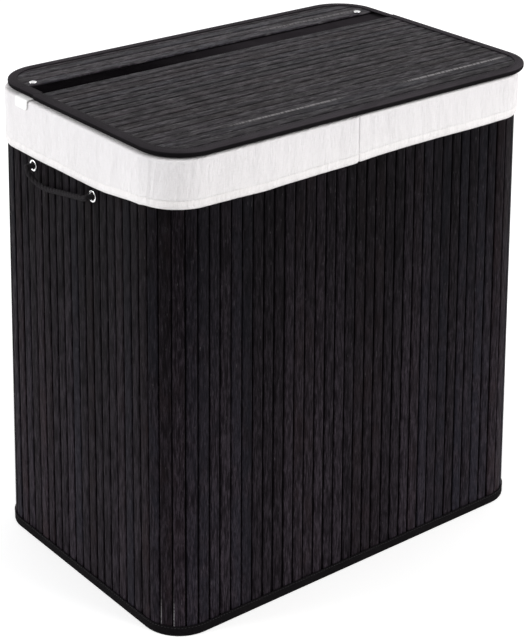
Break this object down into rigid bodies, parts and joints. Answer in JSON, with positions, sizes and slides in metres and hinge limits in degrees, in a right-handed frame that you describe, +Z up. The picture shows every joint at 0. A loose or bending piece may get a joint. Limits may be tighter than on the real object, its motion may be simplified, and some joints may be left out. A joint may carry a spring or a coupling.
{
  "type": "laundry hamper with two bins",
  "caption": "Upright rectangular hamper of bamboo slats with cloth-lined bins, a folded-over cotton cuff, a hinged flap lid and rope side handles",
  "frame": {"origin": "on the floor, in the middle of the base", "axes": "+X along the long side to the right seen from the front, +Y to the rear where the lid is fixed, +Z up"},
  "size_m": [0.536, 0.3544, 0.5562],
  "materials": {
    "bamboo": "black stained bamboo slats, satin, with streaky grain",
    "tape": "black woven binding tape",
    "cotton": "off-white plain cotton",
    "webbing": "white woven strap",
    "lining_cloth": "black lining cloth",
    "rope": "black twisted cord",
    "chrome": "bright plated",
    "wire": "plain steel wire",
    "board": "black faced fibreboard"
  },
  "bodies": {
    "hamper": {"slat_wrap": "bamboo", "wrap_seam_strip": "lining_cloth", "bottom_binding": "tape", "top_binding": "tape", "rim_hoop": "wire", "base_board": "board", "base_cover": "lining_cloth", "bag_left": "cotton", "bag_right": "cotton", "lid_rear_slats": "bamboo", "lid_rear_board": "board", "lid_rear_binding": "tape", "hinge_band": "tape", "strap_left": "webbing", "strap_rivet_left": "chrome", "rivet_washer_left": "chrome", "eyelet_left_front": "chrome", "eyelet_washer_left_front": "chrome", "rope_end_left_front": "rope", "eyelet_left_rear": "chrome", "eyelet_washer_left_rear": "chrome", "rope_end_left_rear": "rope", "strap_right": "webbing", "strap_rivet_right": "chrome", "rivet_washer_right": "chrome", "eyelet_right_front": "chrome", "eyelet_washer_right_front": "chrome", "rope_end_right_front": "rope", "eyelet_right_rear": "chrome", "eyelet_washer_right_rear": "chrome", "rope_end_right_rear": "rope"},
    "lid_flap": {"lid_flap_slats": "bamboo", "lid_flap_board": "board", "lid_flap_binding": "tape"},
    "handle_left": {"rope_loop_left": "rope"},
    "handle_right": {"rope_loop_right": "rope"}
  },
  "joints": [
    {"name": "lid_flap_hinge", "type": "hinge", "parent": "hamper", "child": "lid_flap", "pos_m": [0, 0.094, 0.5557], "axis": [-1, 0, 0], "range_deg": [0, 180], "deforming": ["hinge_band"]},
    {"name": "handle_left_swing", "type": "hinge", "parent": "hamper", "child": "handle_left", "pos_m": [-0.26475, 0.022, 0.47579], "axis": [0, 1, 0], "range_deg": [0, 160]},
    {"name": "handle_right_swing", "type": "hinge", "parent": "hamper", "child": "handle_right", "pos_m": [0.26475, 0.022, 0.47579], "axis": [0, -1, 0], "range_deg": [0, 160]}
  ]
}
